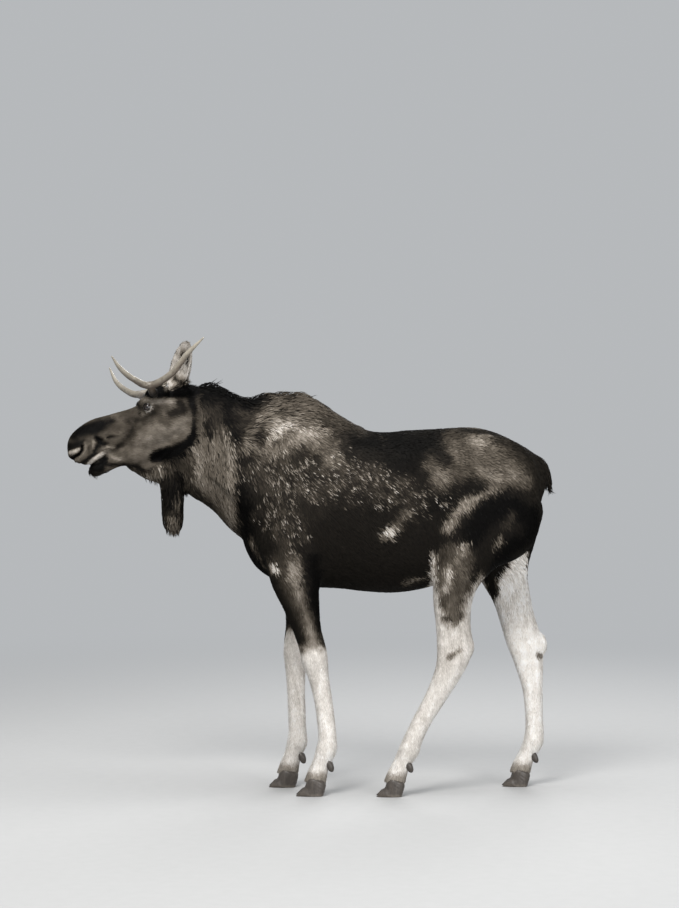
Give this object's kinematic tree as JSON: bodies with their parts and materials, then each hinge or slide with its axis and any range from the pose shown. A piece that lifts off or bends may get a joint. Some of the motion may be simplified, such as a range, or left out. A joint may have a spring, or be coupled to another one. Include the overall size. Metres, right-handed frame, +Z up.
{
  "type": "moose",
  "caption": "Life-size standing young bull moose, a still model with small forked antlers, overhanging muzzle, throat bell and cloven hooves.",
  "frame": {"origin": "centre of the box around the model, on the floor under its hooves", "axes": "+Z up, the animal faces -Y, +X is its left"},
  "size_m": [0.712, 2.0056, 1.8851],
  "materials": {
    "coat_dark": "short matt hair",
    "coat_brown": "short matt hair",
    "coat_pale": "short matt hair",
    "antler": "bony, slightly polished",
    "hoof": "dull horn",
    "eye": "wet and dark"
  },
  "bodies": {
    "root": {"antler_left_beam": "antler", "antler_left_front_tine": "antler", "antler_left_rear_tine": "antler", "antler_right_beam": "antler", "antler_right_front_tine": "antler", "antler_right_rear_tine": "antler", "bell": "coat_brown", "dewclaw_fore_left_inner": "hoof", "dewclaw_fore_left_outer": "hoof", "dewclaw_fore_right_inner": "hoof", "dewclaw_fore_right_outer": "hoof", "dewclaw_hind_left_inner": "hoof", "dewclaw_hind_left_outer": "hoof", "dewclaw_hind_right_inner": "hoof", "dewclaw_hind_right_outer": "hoof", "ear_left": "coat_dark", "ear_right": "coat_dark", "eye_left": "eye", "eye_right": "eye", "fore_left_lower": "coat_pale", "fore_left_upper": "coat_dark", "fore_right_lower": "coat_pale", "fore_right_upper": "coat_dark", "head": "coat_brown", "hind_left_lower": "coat_pale", "hind_left_upper": "coat_dark", "hind_right_lower": "coat_pale", "hind_right_upper": "coat_dark", "hoof_fore_left_inner": "hoof", "hoof_fore_left_outer": "hoof", "hoof_fore_right_inner": "hoof", "hoof_fore_right_outer": "hoof", "hoof_hind_left_inner": "hoof", "hoof_hind_left_outer": "hoof", "hoof_hind_right_inner": "hoof", "hoof_hind_right_outer": "hoof", "lower_jaw": "coat_brown", "neck": "coat_brown", "tail": "coat_brown", "trunk": "coat_dark"}
  },
  "joints": []
}
